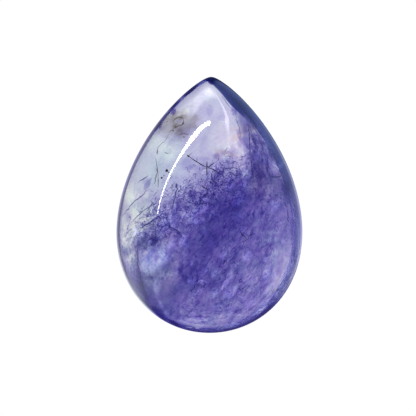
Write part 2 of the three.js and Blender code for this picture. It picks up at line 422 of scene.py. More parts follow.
# Soft blots of more and less violet, close under the dome, by the share of each that is even
BLOTS = {}
BLOTS[0.2] = (
    # x, y, turn, half length, half width, how much more violet
    (-3.88, -2.75, 94, 0.6, 0.14, 0.4), (-3.5, -4.75, 112, 0.43, 0.2, 0.5),
    (-2.92, -4.45, 104, 0.6, 0.18, -0.15), (-2.65, -5.29, 120, 0.49, 0.14, -0.47),
    (-2.27, -5.88, 130, 0.43, 0.13, -0.34), (-3.4, -1.78, 65, 0.43, 0.13, 0.25),
    (-2.81, -1.14, 10, 0.43, 0.12, 0.25), (-1.89, -1.38, 145, 0.59, 0.12, 0.54),
    (0.21, -4.7, 65, 0.43, 0.22, -0.3), (0.7, -5.29, 135, 0.43, 0.14, 0.27),
    (-0.17, 5.06, 50, 0.75, 0.43, 0.08), (-3.55, -1.85, 70, 0.45, 0.13, 0.3),
)
BLOTS[0.3] = (
    (-3.78, -3.8, 103, 0.95, 0.2, 0.55), (-3.35, -3.89, 0, 0.38, 0.16, 0.47),
    (-2.05, -4.59, 20, 0.7, 0.49, 0.12), (-1.03, -6.57, 175, 0.54, 0.06, -0.8),
    (-2.05, -2.0, 30, 0.49, 0.32, -0.27), (-0.87, -0.89, 160, 0.43, 0.22, -0.47),
    (-3.4, 0.53, 30, 0.32, 0.22, -0.27), (-0.27, -0.49, 30, 0.38, 0.27, 0.34),
    (-0.38, 0.48, 20, 0.32, 0.22, 0.41), (0.32, 1.56, 45, 0.43, 0.27, 0.47),
    (0.26, 1.07, 150, 0.32, 0.14, 0.54), (1.88, 1.67, 80, 0.32, 0.22, -0.34),
    (2.47, 3.07, 95, 0.43, 0.13, 0.54), (3.07, 1.99, 92, 0.49, 0.09, 0.61),
    (3.5, 1.99, 100, 0.49, 0.22, -0.47), (4.15, 0.96, 78, 0.59, 0.27, 0.47),
    (2.72, -0.49, 84, 0.49, 0.11, 0.54), (1.99, -2.7, 40, 0.43, 0.27, -0.24),
    (1.4, -2.54, 65, 0.65, 0.19, 0.41), (3.12, -2.16, 60, 0.43, 0.22, 0.24),
    (3.98, -4.26, 60, 0.86, 0.17, 0.34), (3.12, -4.48, 50, 0.59, 0.14, -0.38),
    (0.1, -4.26, 60, 0.49, 0.27, 0.38), (0.75, -3.89, 60, 0.49, 0.13, 0.47),
    (-0.6, -4.26, 30, 0.27, 0.11, 0.4), (-0.54, -5.94, 30, 0.16, 0.12, 0.61),
    (2.2, -5.56, 0, 0.22, 0.16, 0.27), (1.67, -4.59, 70, 0.18, 0.11, 0.47),
    (1.67, -4.1, 20, 0.18, 0.1, 0.47), (-0.87, -5.5, 47, 0.54, 0.09, 0.34),
    (-1.19, 2.2, 30, 0.65, 0.43, 0.22), (3.34, 0.48, 60, 0.38, 0.27, 0.3),
    (1.99, 0.37, 60, 0.32, 0.27, 0.25), (-2.05, -0.27, 60, 0.49, 0.38, -0.35),
    (-2.6, -0.4, 40, 0.32, 0.27, -0.5), (1.1, -4.65, 40, 0.65, 0.35, -0.55),
    (0.32, -5.45, 20, 0.54, 0.22, -0.2), (2.15, -4.05, 60, 0.43, 0.22, -0.2),
    (3.0, -3.6, 70, 0.5, 0.27, -0.35), (-0.3, -3.5, 50, 0.54, 0.16, -0.38),
    (0.64, -3.08, 50, 0.43, 0.22, 0.22), (1.91, 3.5, 93, 0.97, 0.24, 0.48),
    (1.61, 3.23, 100, 0.49, 0.27, 0.3), (2.91, 2.64, 100, 0.92, 0.43, -0.4),
    (3.98, 0.8, 98, 0.54, 0.22, 0.3), (1.5, 0.26, 60, 0.59, 0.38, -0.35),
    (1.07, 1.02, 40, 0.38, 0.27, -0.28), (3.39, -0.11, 60, 0.43, 0.32, -0.28),
    (2.31, -0.81, 90, 0.54, 0.22, 0.28), (3.23, -1.89, 40, 0.43, 0.22, -0.22),
    (4.25, -2.54, 95, 0.59, 0.27, 0.24), (-2.38, 4.63, 50, 0.65, 0.32, -0.26),
    (-1.95, 5.22, 40, 0.32, 0.16, 0.3), (-1.62, 4.52, 40, 0.27, 0.22, 0.28),
    (1.29, 5.12, 115, 0.43, 0.16, 0.3), (-1.03, 3.55, 30, 0.32, 0.22, -0.22),
    (-4.21, 2.26, 65, 0.54, 0.22, -0.22), (0.64, 1.67, 30, 0.27, 0.19, 0.35),
    (0.26, 1.99, 30, 0.27, 0.19, -0.3), (0.86, 2.53, 10, 0.38, 0.22, -0.22),
    (-4.43, -0.27, 95, 0.65, 0.38, 0.22), (-4.53, -2.59, 100, 0.43, 0.22, 0.38),
    (-3.4, 1.23, 60, 0.32, 0.27, 0.2), (-1.51, 0.96, 40, 0.32, 0.22, -0.2),
    (-3.24, -0.54, 60, 0.22, 0.22, 0.35), (-2.65, -1.14, 50, 0.54, 0.32, -0.45),
    (-3.89, -1.73, 60, 0.54, 0.32, -0.15), (-3.29, -1.89, 60, 0.22, 0.27, -0.3),
    (-3.67, -2.59, 80, 0.49, 0.27, -0.28), (-2.27, -3.29, 60, 0.59, 0.38, 0.26),
    (-1.57, -3.35, 85, 0.49, 0.19, 0.5), (-0.6, -0.33, 20, 0.7, 0.27, -0.45),
    (-0.06, -0.92, 20, 0.43, 0.22, 0.22), (-1.41, -1.84, 60, 0.49, 0.27, -0.36),
    (-0.06, -2.54, 30, 0.43, 0.22, 0.25), (1.29, -3.56, 60, 0.27, 0.22, 0.38),
    (1.02, -3.19, 60, 0.27, 0.19, 0.34), (2.26, -3.19, 60, 0.22, 0.22, 0.28),
    (3.34, -4.86, 50, 0.43, 0.24, 0.32), (-0.92, -3.99, 30, 0.27, 0.16, -0.2),
    (-1.25, -4.96, 30, 0.32, 0.22, 0.24), (1.02, -5.83, 20, 0.27, 0.16, -0.34),
    (-0.92, -6.15, 5, 0.97, 0.22, -0.32), (-4.16, 2.47, 65, 0.65, 0.32, -0.3),
    (-0.65, 1.02, 40, 0.27, 0.22, 0.3), (-1.08, 1.94, 40, 0.27, 0.22, 0.2),
    (2.64, 0.32, 80, 0.38, 0.32, 0.35), (2.53, 2.64, 90, 0.38, 0.22, -0.3),
    (1.5, -0.65, 60, 0.38, 0.27, -0.24), (-2.27, -0.71, 60, 0.49, 0.38, -0.38),
    (-2.65, -1.62, 60, 0.32, 0.22, -0.4), (-0.98, -0.6, 20, 0.43, 0.27, -0.45),
    (-0.27, -0.27, 20, 0.32, 0.22, -0.3), (-1.46, -2.0, 60, 0.43, 0.22, -0.3),
    (-2.86, -2.81, 60, 0.27, 0.22, 0.3), (-2.86, -4.26, 75, 0.65, 0.32, -0.25),
    (-1.51, -3.56, 85, 0.49, 0.22, 0.28), (1.88, -6.04, 25, 0.97, 0.22, 0.25),
    (0.24, -3.62, 55, 0.32, 0.16, -0.42), (1.94, -2.75, 60, 0.38, 0.24, -0.32),
    (0.7, -2.7, 50, 0.38, 0.16, -0.32), (-0.98, -3.08, 60, 0.22, 0.13, -0.45),
    (1.4, -3.19, 55, 0.22, 0.11, -0.3), (-4.43, -0.71, 70, 0.43, 0.27, 0.15),
    (-4.4, -1.62, 70, 0.5, 0.3, 0.2), (-3.35, -2.49, 40, 0.27, 0.16, -0.3),
    (-2.97, -5.02, 110, 0.49, 0.43, 0.1), (-0.98, -6.26, 0, 0.65, 0.13, 0.12),
    (-1.84, -6.15, 30, 0.32, 0.22, 0.25), (1.88, -5.83, 25, 0.65, 0.27, -0.12),
    (1.07, -6.42, 12, 0.65, 0.13, -0.3), (-1.25, -3.99, 60, 0.38, 0.27, -0.3),
    (-0.49, -4.16, 30, 0.43, 0.22, -0.25), (-2.32, -5.72, 50, 0.27, 0.22, -0.3),
    (1.02, -3.78, 60, 0.27, 0.13, 0.3), (1.72, 1.02, 50, 0.32, 0.27, -0.35),
    (1.02, 1.34, 30, 0.27, 0.22, -0.3), (-0.71, 0.37, 20, 0.32, 0.27, -0.3),
    (2.47, -0.01, 90, 0.38, 0.22, 0.3), (2.91, 0.64, 60, 0.32, 0.22, 0.22),
    (-1.89, -0.81, 60, 0.32, 0.32, -0.36), (-2.22, -1.25, 60, 0.32, 0.27, -0.3),
    (-0.6, -0.81, 20, 0.49, 0.27, -0.25), (0.32, 2.58, 10, 0.27, 0.22, 0.35),
    (0.37, 1.4, 30, 0.22, 0.16, 0.3), (2.04, 4.36, 110, 0.32, 0.27, 0.25),
    (2.74, 3.23, 95, 0.43, 0.22, 0.25), (-0.27, -2.86, 60, 0.27, 0.22, 0.25),
    (2.15, -5.29, 40, 0.54, 0.32, -0.22), (2.96, -3.89, 60, 0.43, 0.27, -0.22),
    (1.45, -3.4, 60, 0.27, 0.16, 0.25), (2.91, -5.23, 40, 0.43, 0.22, -0.25),
    (3.61, -4.48, 60, 0.27, 0.16, 0.25), (-4.1, -0.75, 70, 0.6, 0.38, 0.16),
    (-4.4, -2.5, 95, 0.4, 0.3, 0.15), (-3.25, -2.2, 30, 0.4, 0.2, 0.1), (0.55, 1.62, 30, 0.27, 0.22, 0.28),
    (2.47, 3.6, 95, 0.4, 0.25, -0.2), (2.35, 1.45, 90, 0.38, 0.25, 0.25), (0.8, -3.55, 60, 0.38, 0.2, 0.35),
    (1.5, -5.67, 20, 0.3, 0.2, 0.38), (-3.67, -4.05, 100, 0.3, 0.16, 0.38),
    (-1.35, -3.88, 60, 0.3, 0.2, 0.28), (-1.04, -4.08, 60, 0.22, 0.14, -0.28),
    (-2.05, -6.34, 150, 0.35, 0.12, 0.4), (-3.24, -1.46, 40, 0.3, 0.22, -0.3),
    (-2.1, -0.8, 60, 0.3, 0.25, -0.25), (-2.05, -2.1, 60, 0.3, 0.22, -0.3),
    (-3.9, -1.5, 80, 0.45, 0.2, -0.12), (-3.22, -2.15, 90, 0.42, 0.16, -0.3),
    (2.1, -1.15, 80, 0.27, 0.22, 0.32), (3.4, -3.75, 80, 0.4, 0.25, -0.22),
    (-0.3, 1.75, 30, 0.27, 0.22, -0.25), (-3.45, -2.65, 80, 0.38, 0.2, -0.28),
    (-2.37, -2.95, 60, 0.22, 0.2, -0.25), (-2.5, 4.5, 50, 0.38, 0.3, -0.2), (0.6, 4.66, 30, 0.43, 0.3, 0.12),
    (1.24, 4.98, 110, 0.27, 0.2, 0.25), (1.9, 3.72, 10, 0.5, 0.2, -0.2), (2.85, 3.37, 90, 0.22, 0.2, 0.2),
    (1.88, 3.0, 90, 0.27, 0.22, 0.2), (0.91, 3.0, 30, 0.27, 0.22, -0.18),
    (2.45, 2.55, 90, 0.43, 0.22, -0.22), (-3.95, 2.7, 65, 0.43, 0.2, -0.2),
    (-3.5, -1.6, 60, 0.22, 0.2, -0.28), (-3.5, -2.92, 60, 0.22, 0.2, -0.28),
    (-2.55, -1.62, 60, 0.22, 0.2, -0.26), (-1.9, -1.3, 60, 0.22, 0.2, -0.3),
    (-1.9, -2.27, 60, 0.22, 0.2, -0.25), (-3.5, -0.97, 30, 0.22, 0.15, 0.25),
    (2.3, -1.3, 60, 0.24, 0.2, 0.28), (2.95, -0.97, 60, 0.22, 0.2, 0.24), (2.45, 0.05, 60, 0.27, 0.22, 0.2),
    (2.95, 0.32, 60, 0.22, 0.2, 0.2), (3.6, -0.05, 90, 0.32, 0.24, -0.2), (3.5, -1.62, 10, 0.48, 0.18, 0.2),
    (3.9, -1.92, 60, 0.22, 0.2, -0.24), (-0.92, 0.32, 60, 0.2, 0.2, 0.26),
    (-0.92, -0.35, 60, 0.2, 0.2, 0.24), (-0.27, 0.28, 60, 0.22, 0.2, -0.24),
    (1.99, 0.32, 60, 0.22, 0.2, -0.22), (1.67, -1.3, 60, 0.22, 0.2, -0.22),
    (-0.3, -1.4, 80, 0.3, 0.2, -0.22), (1.8, -2.27, 20, 0.3, 0.18, 0.2), (-0.5, -3.24, 10, 0.4, 0.16, 0.2),
    (1.02, -3.4, 60, 0.3, 0.2, 0.26), (0.68, -3.9, 60, 0.22, 0.14, -0.3), (-1.3, -4.0, 85, 0.35, 0.15, 0.26),
    (-0.93, -4.2, 60, 0.16, 0.14, -0.28), (-3.5, -4.2, 100, 0.24, 0.16, 0.34),
    (-3.42, -5.12, 125, 0.35, 0.18, 0.7), (-2.86, -4.86, 60, 0.22, 0.2, -0.26),
    (-1.25, -5.18, 60, 0.22, 0.16, 0.24), (-2.54, -3.64, 80, 0.3, 0.2, -0.22),
    (-0.27, -6.15, 10, 0.27, 0.16, -0.24), (-0.92, -5.83, 20, 0.22, 0.16, -0.2),
    (1.75, -5.78, 20, 0.27, 0.12, 0.26), (2.75, -5.68, 30, 0.8, 0.18, -0.26),
    (1.02, -5.5, 20, 0.22, 0.16, -0.24), (-2.6, -6.05, 140, 0.5, 0.15, 0.8),
    (-1.9, -6.4, 150, 0.45, 0.13, 1.1), (0.02, 1.76, 20, 0.27, 0.2, -0.26),
    (1.3, 4.92, 110, 0.35, 0.2, 0.25), (-1.28, -4.02, 85, 0.3, 0.14, 0.16),
    (-3.5, -4.15, 100, 0.24, 0.16, 0.16), (-4.2, -2.5, 95, 0.3, 0.2, 0.2), (-3.9, -1.2, 60, 0.22, 0.2, 0.2),
    (0.95, -3.25, 60, 0.22, 0.2, 0.16), (1.62, -2.25, 60, 0.22, 0.18, 0.2),
    (-1.0, -4.86, 60, 0.2, 0.16, 0.2), (2.95, -0.72, 80, 0.3, 0.2, 0.2), (2.95, -1.62, 60, 0.22, 0.2, 0.2),
    (2.95, -2.9, 60, 0.24, 0.22, -0.24), (3.75, 2.1, 60, 0.4, 0.22, -0.22), (2.0, 1.95, 80, 0.24, 0.2, 0.2),
    (2.95, 1.95, 90, 0.22, 0.2, 0.18), (3.3, 1.9, 60, 0.22, 0.2, 0.18), (3.8, 2.1, 50, 0.35, 0.16, -0.2),
    (1.1, 0.95, 0, 0.5, 0.2, -0.22), (2.65, 1.3, 60, 0.35, 0.22, 0.22), (0.8, 0.3, 20, 0.35, 0.2, 0.18),
    (3.95, 0.4, 90, 0.3, 0.2, 0.2), (0.1, 1.6, 20, 0.35, 0.2, -0.22), (-3.2, -2.0, 60, 0.2, 0.2, -0.2),
    (-3.2, -2.6, 60, 0.22, 0.2, -0.24), (-2.2, -1.95, 60, 0.2, 0.2, 0.2),
    (-2.05, -1.15, 20, 0.35, 0.2, -0.2), (-2.9, -0.7, 80, 0.3, 0.2, -0.24),
    (-1.25, -2.1, 80, 0.3, 0.2, -0.2), (0.05, -2.0, 80, 0.3, 0.2, -0.2), (2.6, -0.95, 60, 0.24, 0.2, 0.24),
    (1.65, -2.3, 60, 0.22, 0.2, 0.2), (-3.6, -4.3, 100, 0.22, 0.18, 0.2),
    (-1.22, -4.15, 60, 0.16, 0.16, 0.2), (0.3, -4.7, 70, 0.3, 0.18, -0.2), (1.3, -3.9, 60, 0.18, 0.14, 0.2),
    (1.0, -4.22, 60, 0.18, 0.14, 0.2), (3.75, -3.3, 75, 0.75, 0.22, 0.2), (2.75, -5.6, 30, 0.7, 0.16, -0.2),
    (1.6, -5.82, 20, 0.22, 0.12, 0.24), (0.0, 4.95, 90, 0.4, 0.28, 0.14), (-0.33, 3.3, 75, 0.75, 0.32, 0.11),
    (-0.5, 2.42, 0, 0.6, 0.22, 0.1), (-0.87, 2.0, 0, 0.27, 0.22, 0.14), (-1.3, 5.0, 45, 0.35, 0.22, -0.16),
    (-2.16, 2.85, 60, 0.27, 0.22, 0.13), (-0.38, 0.4, 70, 0.35, 0.25, -0.26),
    (0.0, -0.44, 0, 0.35, 0.2, -0.26), (-1.95, -1.08, 60, 0.25, 0.2, -0.24),
    (-2.43, -1.41, 60, 0.25, 0.2, -0.26), (2.74, 3.45, 95, 0.25, 0.2, -0.3),
    (2.1, 3.12, 95, 0.25, 0.2, 0.26), (3.39, -5.34, 50, 0.4, 0.22, -0.28),
    (1.45, -6.26, 15, 0.5, 0.18, -0.3), (-0.76, -4.1, 30, 0.4, 0.2, -0.22),
)
BLOTS[0.4] = (
    (-4.55, -1.1, 95, 2.0, 0.5, 0.16), (-2.81, -5.72, 139, 0.65, 0.22, 0.8),
    (-1.95, -6.34, 150, 0.65, 0.14, 0.65), (-0.92, 0.59, 0, 0.3, 0.27, 0.55),
    (-1.35, -0.49, 170, 0.32, 0.27, -0.47), (2.69, 1.61, 100, 0.43, 0.35, 0.45),
    (4.47, -1.68, 94, 1.4, 0.24, 0.47), (2.91, 3.61, 121, 1.13, 0.22, -0.5),
    (-4.43, -3.08, 112, 0.75, 0.22, -0.25), (-3.99, 2.42, 70, 0.75, 0.22, -0.2),
    (2.2, 4.36, 120, 0.54, 0.32, 0.45), (3.28, 1.99, 95, 0.49, 0.32, -0.4),
    (2.66, 0.75, 93, 0.7, 0.32, 0.55), (-3.89, -4.64, 115, 0.59, 0.27, 0.4),
    (2.29, 1.83, 92, 0.59, 0.16, 0.3), (-3.56, -4.64, 115, 0.7, 0.22, 0.4),
    (4.52, -2.65, 95, 0.49, 0.16, 0.5), (1.23, -4.05, 60, 0.38, 0.13, 0.3),
    (-3.35, 1.07, 60, 0.43, 0.19, 0.35), (-3.67, -4.48, 112, 0.65, 0.27, 0.3),
    (-1.97, 4.96, 80, 0.24, 0.15, 1.0), (-2.82, 4.24, 50, 0.42, 0.2, 1.4),
)
BLOTS[0.5] = (
    (-3.3, -3.3, 20, 0.6, 0.5, -0.16), (-2.97, -1.89, 80, 0.35, 0.24, 0.55),
    (2.58, 3.18, 97, 1.08, 0.43, 0.24), (0.86, -4.05, 57, 0.86, 0.17, -0.42),
    (2.26, 0.48, 94, 1.08, 0.22, 0.12),
)
BLOTS[0.7] = (
    (-2.72, -2.78, 10, 0.56, 0.36, -0.1),
)
uneven = scaled(vector("SUBTRACT", noise(texture_place, 4.5, 2.0, 0.6, "Color"), (0.5, 0.5, 0.5)), 0.28)
blotted = vector("MULTIPLY", vector("ADD", on_dome, uneven), (1.0, 1.0, 0.0))
blots = 0.0
for core, group in BLOTS.items():
    blots = add_ovals(blots, blotted, [((x, y), *shape, core, more) for x, y, *shape, more in group])
violet = plus(violet, blots, dome_share)

veil_zone = oval(zone, (-0.9, 0.0), 36, 4.5, 1.9, 0.3)
veil_zone = times(veil_zone, dome_share, step_between(seen_x, -3.7, -2.3, 0.12, 1.0))
broken = step_between(noise(texture_place, 1.9, 2.0), 0.42, 0.55)
worms = times(threads(veil_place, 2.7, 0.04), broken, veil_zone)
violet = plus(violet, worms, 1.3)
flecks = times(threads(veil_place, 3.4, 0.03, 1.2), veil_zone)
violet = plus(violet, flecks, -0.55)
violet = node("Clamp", inputs={"Value": violet, "Min": -0.05, "Max": 3.0})

PALE_PASSES = (0.93, 0.93, 0.97)
CORE_PASSES = (0.070, 0.052, 0.31)
passed = {}
for channel, clear, deep in zip(("Red", "Green", "Blue"), PALE_PASSES, CORE_PASSES):
    passed[channel] = times(maths("POWER", deep / clear, violet), clear)
lighter = maths("MAXIMUM", times(blots, -0.9), 0.0)
lighter = times(lighter, minus(1.0, pale), dome_share)
bluer = times(maths("ADD", lighter, 1.0), passed["Blue"])
passed["Blue"] = maths("MINIMUM", bluer, 1.0)
hue = node("CombineColor", inputs=passed)

# Some places are off the violet: smoky at the upper left, blue behind the cleavage, stained brown
# near the point, and paler or greyer blue in between
WHITE = (1.0, 1.0, 1.0, 1.0)
SMOKY = (0.92, 1.0, 0.90, 1.0)
RIM_SHADE_NAVY = (0.35, 1.1, 0.70, 1.0)
BLUE_GREY = (1.0, 1.16, 0.88, 1.0)
BLUE = (1.55, 1.62, 1.02, 1.0)
PINK = (1.0, 0.91, 1.0, 1.0)
LIGHT_BLUE = (0.88, 0.84, 1.22, 1.0)
COOL = (0.93, 1.0, 1.0, 1.0)
COOLER = (0.94, 1.05, 0.97, 1.0)
WARMER = (1.07, 0.95, 1.02, 1.0)
BROWN = (0.52, 0.47, 0.40, 1.0)
TAWNY = (0.84, 0.68, 0.64, 1.0)
SKY_HIGHLIGHT = (0.42, 0.62, 0.98, 1.0)
HUE_OVALS = (
    # in which layout, middle, turn, half length, half width, core, hue
    (zone, (1.0, 3.5), 100, 1.4, 0.9, 0.2, PINK),
    (zone, (-1.3, 4.45), 20, 0.9, 0.75, 0.45, BROWN),
    (seen, (-2.1, 2.0), 60, 2.3, 1.7, 0.3, COOL),
    (on_dome, (0.85, 2.75), 165, 1.0, 0.22, 0.3, TAWNY),
    (on_dome, (0.4, 2.6), 80, 0.25, 0.2, 0.3, TAWNY),
    (on_dome, (-1.72, 4.64), 20, 0.48, 0.17, 0.3, BROWN),
    (on_dome, (-1.46, 4.66), 5, 0.42, 0.2, 0.3, BROWN),
    (on_dome, (-1.86, 4.22), 30, 0.30, 0.17, 0.3, BROWN),
    (on_dome, (-1.90, 4.76), 45, 0.44, 0.26, 0.3, BROWN),
    # Painted highlight: a sky-blue sliver near the left of the point
    (on_dome, (-0.40, 6.60), 33, 0.42, 0.2, 0.3, SKY_HIGHLIGHT),
    (zone, (-3.3, -3.1), 100, 3.8, 1.9, 0.3, BLUE_GREY),
    (on_dome, (1.85, 4.3), 113, 1.6, 0.6, 0.3, BLUE_GREY),
    (seen, (-2.9, -2.95), 30, 1.1, 0.75, 0.5, LIGHT_BLUE),
)


def tinted(share, tint):
    return blend(share, hue, tint, "MULTIPLY")


to_left = vector("DOT_PRODUCT", seen, (-0.93, 0.37, 0.0), output="Value")
hue = tinted(times(between(to_left, 1.6, 3.6, 4.2, 4.9), pale), SMOKY)
behind_cleavage = minus(1.0, left_of_cleavage)
hue = tinted(behind_cleavage, blend(step_between(seen_y, -0.3, 1.2), WHITE, BLUE))
for place, *shape, tint in HUE_OVALS:
    hue = tinted(oval(place, *shape), tint)
drift = step_between(noise(veil_place, 1.3, 3.0, 0.6), 0.38, 0.62)
hue = tinted(plus(1.0, pale, -0.7), blend(drift, COOLER, WARMER))
# Painted shade: the rim band near the point is tinted navy
hue = tinted(times(rim_shade_band, near_tip), RIM_SHADE_NAVY)
plug(shader.inputs["Base Color"], hue)
shader.inputs["Roughness"].default_value = 0.015
shader.inputs["IOR"].default_value = LIGHT_INDEX
shader.inputs["Transmission Weight"].default_value = 1.0
absorption = tree.nodes.new("ShaderNodeVolumeAbsorption")
absorption.inputs["Color"].default_value = (0.224, 0.302, 0.774, 1.0)
absorption.inputs["Density"].default_value = 40.0
tree.links.new(absorption.outputs["Volume"], tree.nodes["Material Output"].inputs["Volume"])
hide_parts("tanzanite_cabochon")
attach(stone, "root")


# The needles
# Dark mineral needles and grains that grew in the stone. Each is a thin closed tube of mesh at its
# own depth under the dome, placed where it shows from above.
TUBE_SIDES = 5
STEPS_PER_MM = 9
THIN_END = 0.25
WIDTH_VARIES = (0.8, 1.2)
SPECK_LEAN = (0.8, 0.5)
LIGHT_BENDS = 1 / LIGHT_INDEX
NEEDLES = (
    # width, depth, wander, and the way it shows from above, all in millimetres
    (0.045, 0.9, 0.0, ((-1.27, 2.72), (-0.87, 2.42), (-0.37, 2.12), (-0.2, 2.04))),
    (0.03, 0.9, 0.0, ((-0.96, 2.82), (-1.15, 2.66))),
    (0.09, 0.9, 0.0, ((-1.24, 2.68), (-1.1, 2.59))),
    (0.055, 1.1, 0.0, ((-0.16, 2.36), (-0.18, 1.58))),
    (0.05, 1.0, 0.01, ((0.24, 2.27), (-0.12, 2.02))),
    (0.05, 1.0, 0.01, ((-0.2, 2.12), (0.16, 1.91), (0.55, 1.68))),
    (0.055, 0.3, 0.0, ((-0.5, 1.03), (-0.06, 0.8))),
    (0.04, 0.4, 0.02, ((1.61, -1.46), (2.03, -1.89))),
)
SPECKS = (
    # size, depth and place
    (0.17, 0.7, (-2.34, 1.85)), (0.09, 0.7, (-2.22, 1.76)), (0.12, 0.7, (-2.61, 1.46)),
    (0.07, 0.7, (-2.49, 1.58)), (0.08, 0.5, (-2.05, 1.07)), (0.13, 1.0, (-1.46, 4.4)),
    (0.15, 1.0, (-1.86, 4.2)), (0.08, 1.0, (-1.41, 3.66)), (0.1, 1.0, (-2.0, 4.0)),
    (0.09, 1.0, (-2.32, 4.49)),
)
dome = BVHTree.FromPolygons(
    [point.co for point in stone.data.vertices], [face.vertices for face in stone.data.polygons]
)
chance = np.random.default_rng(6)


def inside(x, y, depth):
    """The place in the stone that shows at x, y in the view, as far past the dome as the depth."""
    aimed = Vector((0.0, 0.0, GIRDLE_HEIGHT)) + (view_right * x + view_up * y) * MM
    eye = camera.matrix_world.translation
    ray = (aimed - eye).normalized()
    met, normal, _, _ = dome.ray_cast(eye, ray)
    if met is None:
        return None
    lean = -ray.dot(normal)
    bent = ray * LIGHT_BENDS
    bent += normal * (LIGHT_BENDS * lean - math.sqrt(1 - LIGHT_BENDS**2 * (1 - lean**2)))
    return met + bent * depth * MM


def through(points, count):
    """Places along a smooth curve through the points."""
    line = np.array(points, dtype=float)
    line = np.concatenate([[2 * line[0] - line[1]], line, [2 * line[-1] - line[-2]]])
    places = []
    for t in np.linspace(0.0, len(points) - 1.0, count):
        i = min(int(t), len(points) - 2)
        f = t - i
        a, b, c, d = line[i:i + 4]
        bend = 2 * b + (c - a) * f + (2 * a - 5 * b + 4 * c - d) * f**2 + (3 * b - a - 3 * c + d) * f**3
        places.append(bend / 2)
    return np.array(places)


def add_tube(points, faces, path, radii):
    """Adds a closed tube along a path of places in metres."""
    first = len(points)
    for i, (place, radius) in enumerate(zip(path, radii)):
        ahead = (path[min(i + 1, len(path) - 1)] - path[max(i - 1, 0)]).normalized()
        side = ahead.cross(facing).normalized()
        up = side.cross(ahead)
        for j in range(TUBE_SIDES):
            turn = 2 * math.pi * j / TUBE_SIDES
            points.append(place + (side * math.cos(turn) + up * math.sin(turn)) * radius)
    for i in range(len(path) - 1):
        for j in range(TUBE_SIDES):
            a = first + i * TUBE_SIDES + j
            b = first + i * TUBE_SIDES + (j + 1) % TUBE_SIDES
            faces.append((a, b, b + TUBE_SIDES, a + TUBE_SIDES))
    last = first + (len(path) - 1) * TUBE_SIDES
    faces.append(tuple(first + j for j in reversed(range(TUBE_SIDES))))
    faces.append(tuple(last + j for j in range(TUBE_SIDES)))


def add_lines(points, faces, lines):
    """Adds a tube with thin ends for each line of width, depth, wander and way."""
    for width, depth, wander, way in lines:
        length = sum(math.dist(a, b) for a, b in zip(way, way[1:]))
        count = max(4, int(length * STEPS_PER_MM) + 2)
        line = through(way, count) + chance.normal(0.0, 1.0, (count, 2)) * wander
        path = [inside(x, y, depth) for x, y in line]
        arch = np.sqrt(np.sin(math.pi * np.linspace(0.0, 1.0, count)))
        thinning = THIN_END + (1 - THIN_END) * arch
        radii = width / 2 * MM * thinning * chance.uniform(*WIDTH_VARIES, count)
        add_tube(points, faces, path, radii)


# Two shades of a mineral in soft patches, for every kind of inclusion
PATCHES_PER_MM = 3.0
tree = bpy.data.node_groups.new("mineral_mottle", "ShaderNodeTree")
for shade_name in ("Dark", "Light"):
    tree.interface.new_socket(shade_name, in_out="INPUT", socket_type="NodeSocketColor")
tree.interface.new_socket("Shade", in_out="OUTPUT", socket_type="NodeSocketColor")
shades = tree.nodes.new("NodeGroupInput").outputs
patches = noise(scaled(node("TexCoord", "Object"), 1 / MM), PATCHES_PER_MM)
mottled = blend(patches, shades["Dark"], shades["Light"])
plug(tree.nodes.new("NodeGroupOutput").inputs["Shade"], mottled)
mineral_mottle = tree


def inclusion(name, points, faces, dark, light, glow):
    """One piece of mesh in a dull mineral of two shades. It glows a little in its own shade: painted light
    in place of the table's light that it would scatter.
    """
    made = new_object(name, [tuple(point) for point in points], faces)
    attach(made, "root")
    shader = new_material(made, name)
    shades = {"Dark": (*dark, 1.0), "Light": (*light, 1.0)}
    shade = node("Group", "Shade", inputs=shades, node_tree=mineral_mottle)
    plug(shader.inputs["Base Color"], shade)
    # Painted light: the piece glows with its own shade, though it is no lamp
    plug(shader.inputs["Emission Color"], shade)
    shader.inputs["Emission Strength"].default_value = glow
    shader.inputs["Roughness"].default_value = 0.7
    shader.inputs["Specular IOR Level"].default_value = 0.2


points, faces = [], []
add_lines(points, faces, NEEDLES)
for size, depth, (x, y) in SPECKS:
    ends = np.linspace(-0.5, 0.5, 5)
    lean_x, lean_y = (size * share for share in SPECK_LEAN)
    path = [inside(x + t * lean_x, y + t * lean_y, depth) for t in ends]
    add_tube(points, faces, path, size / 2 * MM * np.sqrt(1.02 - (2 * ends) ** 2))
inclusion("dark_needles", points, faces, (0.015, 0.012, 0.03), (0.06, 0.045, 0.06), 0.6)


# The fibres
# Long grey-brown fibres of another mineral near the left edge, thicker here and there.
FIBRES = (
    (0.04, 0.8, 0.01, ((-2.48, 3.4), (-2.72, 3.22), (-2.86, 2.96), (-2.86, 2.72))),
    (0.095, 0.8, 0.01, ((-2.86, 2.98), (-2.83, 2.74))),
    (0.035, 0.8, 0.01, ((-2.94, 2.55), (-2.92, 2.3), (-2.84, 2.02))),
    (0.075, 0.8, 0.01, ((-2.86, 2.08), (-2.82, 1.7))),
    (0.055, 0.8, 0.01, ((-2.82, 1.8), (-2.94, 1.45), (-3.0, 1.12))),
    (0.045, 0.8, 0.01, ((-2.82, 1.75), (-2.8, 1.3), (-2.8, 0.92))),
    (0.05, 0.6, 0.0, ((-2.46, 2.84), (-2.25, 2.75))),
    (0.09, 0.6, 0.01, ((-1.98, 4.36), (-1.95, 4.58), (-1.79, 4.7), (-1.56, 4.73), (-1.42, 4.62))),
    (0.09, 0.6, 0.01, (
        (-1.42, 4.6), (-1.46, 4.4), (-1.62, 4.29), (-1.88, 4.18), (-2.08, 4.04), (-2.17, 3.9),
    )),
    (0.035, 0.6, 0.01, ((-2.15, 3.94), (-2.25, 3.75), (-2.36, 3.58), (-2.46, 3.42), (-2.52, 3.34))),
    (0.05, 1.1, 0.03, ((-1.7, 3.72), (-1.45, 3.88), (-1.18, 3.8))),
)
points, faces = [], []
add_lines(points, faces, FIBRES)
inclusion("grey_fibres", points, faces, (0.16, 0.145, 0.16), (0.30, 0.27, 0.28), 0.7)


